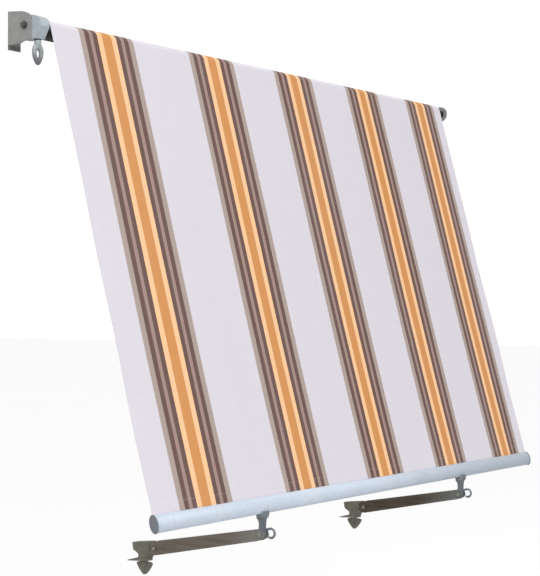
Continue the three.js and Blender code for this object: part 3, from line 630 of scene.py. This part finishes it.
def bar_profile():
    """Oval extrusion with a keder groove on top and a tee slot below."""
    bm = bmesh.new()
    bmesh.ops.create_circle(bm, segments=120, radius=1.0)
    for vert in bm.verts:
        vert.co = Vector((-BAR_HALF_LENGTH, vert.co.x * BAR_HALF_DEPTH, vert.co.y * BAR_HALF_HEIGHT))
    mouths = [v for v in bm.verts if abs(v.co.y) < (0.0011 if v.co.z > 0 else 0.0028)]
    bmesh.ops.delete(bm, geom=mouths, context="VERTS")
    for rise, drop, reach in ((1, 0.0028, 0.0021), (-1, 0.0032, 0.002)):
        ends = [v for v in bm.verts if len(v.link_edges) == 1 and v.co.z * rise > 0]
        steps = [(0, -rise * drop), (reach, -rise * 0.0002), (0.0006, -rise * 0.005)]
        for out, down in steps:
            made = bmesh.ops.extrude_vert_indiv(bm, verts=ends)["verts"]
            for vert in made:
                vert.co += Vector((0, math.copysign(out, vert.co.y), down))
            ends = made
        bmesh.ops.contextual_create(bm, geom=ends)
    made = bmesh.ops.extrude_edge_only(bm, edges=bm.edges[:])["geom"]
    bmesh.ops.translate(bm, verts=[g for g in made if isinstance(g, bmesh.types.BMVert)],
                        vec=(2 * BAR_HALF_LENGTH, 0, 0))
    bmesh.ops.recalc_face_normals(bm, faces=bm.faces)
    bmesh.ops.transform(bm, verts=bm.verts, matrix=slope_frame(BAR_AXIS))
    piece = to_object(bm, "bar_extrusion", "bar", "bar", 30)
    wall = piece.modifiers.new("bar_wall", "SOLIDIFY")
    wall.thickness = 0.0009
    wall.offset = -1
    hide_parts("front_bar")
    return piece


def bar_end(side):
    """Push-in end cap: a domed oval face and a rounded rim."""
    low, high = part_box(f"bar_cap_{'left' if side < 0 else 'right'}")
    outer = high[0] if side > 0 else -low[0]
    start = BAR_HALF_LENGTH + 0.0002
    bm = bmesh.new()
    made = bmesh.ops.create_circle(bm, cap_ends=True, segments=72, radius=1.0)
    for vert in made["verts"]:
        vert.co = Vector((0, vert.co.x * (BAR_HALF_DEPTH + 0.001), vert.co.y * (BAR_HALF_HEIGHT + 0.001)))
    face = bm.faces[:]
    grown = bmesh.ops.extrude_face_region(bm, geom=face)["geom"]
    bmesh.ops.translate(bm, verts=[g for g in grown if isinstance(g, bmesh.types.BMVert)],
                        vec=(outer - start - 0.0006, 0, 0))
    top = [g for g in grown if isinstance(g, bmesh.types.BMFace)]
    rim = [e for e in top[0].edges]
    bmesh.ops.bevel(bm, geom=rim, offset=0.0016, segments=4, profile=0.5, affect="EDGES", material=-1)
    top = max(bm.faces, key=lambda f: f.calc_center_median().x + f.calc_area())
    bmesh.ops.inset_region(bm, faces=[top], thickness=0.0016, depth=-0.0005)
    bmesh.ops.inset_region(bm, faces=[top], thickness=0.004, depth=0.0009)
    bmesh.ops.recalc_face_normals(bm, faces=bm.faces)
    for vert in bm.verts:
        vert.co.x += start
    if side < 0:
        bmesh.ops.scale(bm, vec=(-1, 1, 1), verts=bm.verts)
        bmesh.ops.reverse_faces(bm, faces=bm.faces)
    bmesh.ops.transform(bm, verts=bm.verts, matrix=slope_frame(BAR_AXIS))
    name = "left" if side < 0 else "right"
    piece = to_object(bm, f"bar_end_{name}", "cap_plastic", "bar", 50)
    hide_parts(f"bar_cap_{name}")
    return piece


# Crank eye

def crank_eye():
    """Egg-shaped loop under a waisted neck, cast in one."""
    axis = Vector(joints["crank_spin"]["pos_m"])
    bm = bmesh.new()
    bmesh.ops.create_circle(bm, segments=20, radius=0.0056, matrix=Matrix.Translation((0.0114, 0, 0)))
    bmesh.ops.spin(bm, geom=bm.verts[:] + bm.edges[:], cent=(0, 0, 0), axis=(0, 1, 0), angle=2 * math.pi,
                   steps=56, use_merge=True)
    for vert in bm.verts:
        tall = vert.co.z * 1.55
        vert.co = Vector((vert.co.x * (1 + 11 * tall), vert.co.y, tall - 0.0625))
    neck = [(0.0, -0.047), (0.0052, -0.0462), (0.0068, -0.0445), (0.0076, -0.0415), (0.0085, -0.0395),
            (0.0085, -0.0312), (0.008, -0.0297), (0.0, -0.0297)]
    verts = [bm.verts.new((r, 0, z)) for r, z in neck]
    edges = [bm.edges.new(pair) for pair in zip(verts, verts[1:])]
    bmesh.ops.spin(bm, geom=verts + edges, cent=(0, 0, 0), axis=(0, 0, 1), angle=2 * math.pi, steps=40,
                   use_merge=True)
    bmesh.ops.remove_doubles(bm, verts=bm.verts, dist=1e-6)
    bmesh.ops.recalc_face_normals(bm, faces=bm.faces)
    bmesh.ops.translate(bm, verts=bm.verts, vec=(axis.x, axis.y, 0))
    piece = to_object(bm, "crank_eye_cast", "eye", "crank", 50)
    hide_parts("crank_eye")
    return piece


# ---------------------------------------------------------------- build

hang_cloth()
wind_cloth()
bar_profile()
for end in (-1, 1):
    bar_end(end)
crank_eye()

for node in ("bracket_left", "bracket_right"):
    softened(node, "bracket", 0.0006)
softened("gear_housing", "casting", 0.001, 3)
softened("gear_cover", "casting", 0.0006, 2)
for side in ("left", "right"):
    softened(f"{side}_hanger_post", "hanger", 0.0008, 3)
    softened(f"{side}_arm_channel", f"arm_{side}", 0.0005, 2)
    softened(f"{side}_arm_hook", "hanger", 0)
    softened(f"{side}_clamp_head", "clamp", 0.0015, 3)
    softened(f"{side}_clamp_jaw", "clamp", 0.0008, 2)
    softened(f"{side}_wing_screw", "clamp", 0.0012, 3)
    for part in ("arm_bolt", "arm_nut", "clamp_bolt", "clamp_nut"):
        softened(f"{side}_{part}", "hardware", 0.0004)

KEPT = {
    "galvanised": ["roller_tube"],
    "hardware": ["gear_cover_screw_1", "gear_cover_screw_2", "gear_cover_screw_3", "worm", "crank_eye_pin",
                 "drive_square", "idler_pin", "idler_ring",
                 "left_hanger_tee_bolt", "right_hanger_tee_bolt"],
    "dark_bolt": ["gear_mount_bolt", "gear_mount_washer"],
    "brass": ["worm_wheel"],
    # roller_plug_left is black partly as its own colour and partly as painted shade: it fills the dark, shadowed
    # left end of the roll beside the gear.
    "black_nylon_and_roll_end_shade": ["worm_bush", "roller_plug_left", "roller_plug_right", "idler_bush"],
    "keder": ["roller_keder", "bar_keder"],
}
for finish, nodes in KEPT.items():
    for node in nodes:
        for index in range(len(cad[node].data.materials)):
            cad[node].data.materials[index] = FINISHES[finish]


# ---------------------------------------------------------------- room, light and camera

def pale_floor():
    """Matt pale floor that throws back less light than it shows."""
    material, tree, shader = new_material("pale_floor")
    seen = add(tree, "ShaderNodeLightPath").outputs["Is Camera Ray"]
    tree.links.new(mix_colour(tree, seen, (0.5, 0.5, 0.5), (0.96, 0.96, 0.96)), shader.inputs["Base Color"])
    shader.inputs["Roughness"].default_value = 0.95
    shader.inputs["Specular IOR Level"].default_value = 0.1
    return material


def floor():
    bm = bmesh.new()
    bmesh.ops.create_grid(bm, x_segments=1, y_segments=1, size=60)
    mesh = bpy.data.meshes.new("floor")
    bm.to_mesh(mesh)
    bm.free()
    ground = bpy.data.objects.new("floor", mesh)
    ground.location.z = cad_box[0][2] - 0.9
    mesh.materials.append(pale_floor())
    bpy.context.scene.collection.objects.link(ground)


def soft_light(name, place, aim, size, power):
    lamp = bpy.data.lights.new(name, "AREA")
    lamp.energy = power
    lamp.size = size
    light = bpy.data.objects.new(name, lamp)
    light.location = place
    light.rotation_euler = (Vector(aim) - Vector(place)).to_track_quat("-Z", "Y").to_euler()
    bpy.context.scene.collection.objects.link(light)


def camera():
    data = bpy.data.cameras.new("camera")
    data.sensor_fit = "VERTICAL"
    data.sensor_height = 36
    data.lens = 98.195
    data.clip_end = 200
    view = bpy.data.objects.new("camera", data)
    view.location = (-3.72315, -2.64334, -0.66648)
    yaw, pitch = math.radians(55.2431), math.radians(0.7945)
    ahead = Vector((math.sin(yaw) * math.cos(pitch), math.cos(yaw) * math.cos(pitch), math.sin(pitch)))
    view.rotation_euler = ahead.to_track_quat("-Z", "Y").to_euler()
    bpy.context.scene.collection.objects.link(view)
    bpy.context.scene.camera = view


def sky():
    """Soft white room: full white behind the object, a little weaker as a light."""
    world = bpy.data.worlds.new("soft_room")
    world.use_nodes = True
    tree = world.node_tree
    parts = add(tree, "ShaderNodeSeparateXYZ")
    tree.links.new(add(tree, "ShaderNodeTexCoord").outputs["Generated"], parts.inputs[0])
    overhead = spread(tree, parts.outputs[2], -0.1, 1.0, 0.45, 1.25)
    seen = add(tree, "ShaderNodeLightPath").outputs["Is Camera Ray"]
    strength = math_node(tree, "MAXIMUM", overhead, math_node(tree, "MULTIPLY", seen, 1.05))
    tree.links.new(strength, tree.nodes["Background"].inputs["Strength"])
    tree.nodes["Background"].inputs["Color"].default_value = (1, 1, 1, 1)
    bpy.context.scene.world = world


floor()
sky()
soft_light("key_light", (-4.2, -4.0, 1.6), (0, -0.2, -0.7), 3.0, 130)
soft_light("fill_light", (4.0, -3.5, 1.0), (0, -0.2, -0.7), 3.0, 25)
camera()
bpy.context.scene.view_settings.view_transform = "Standard"
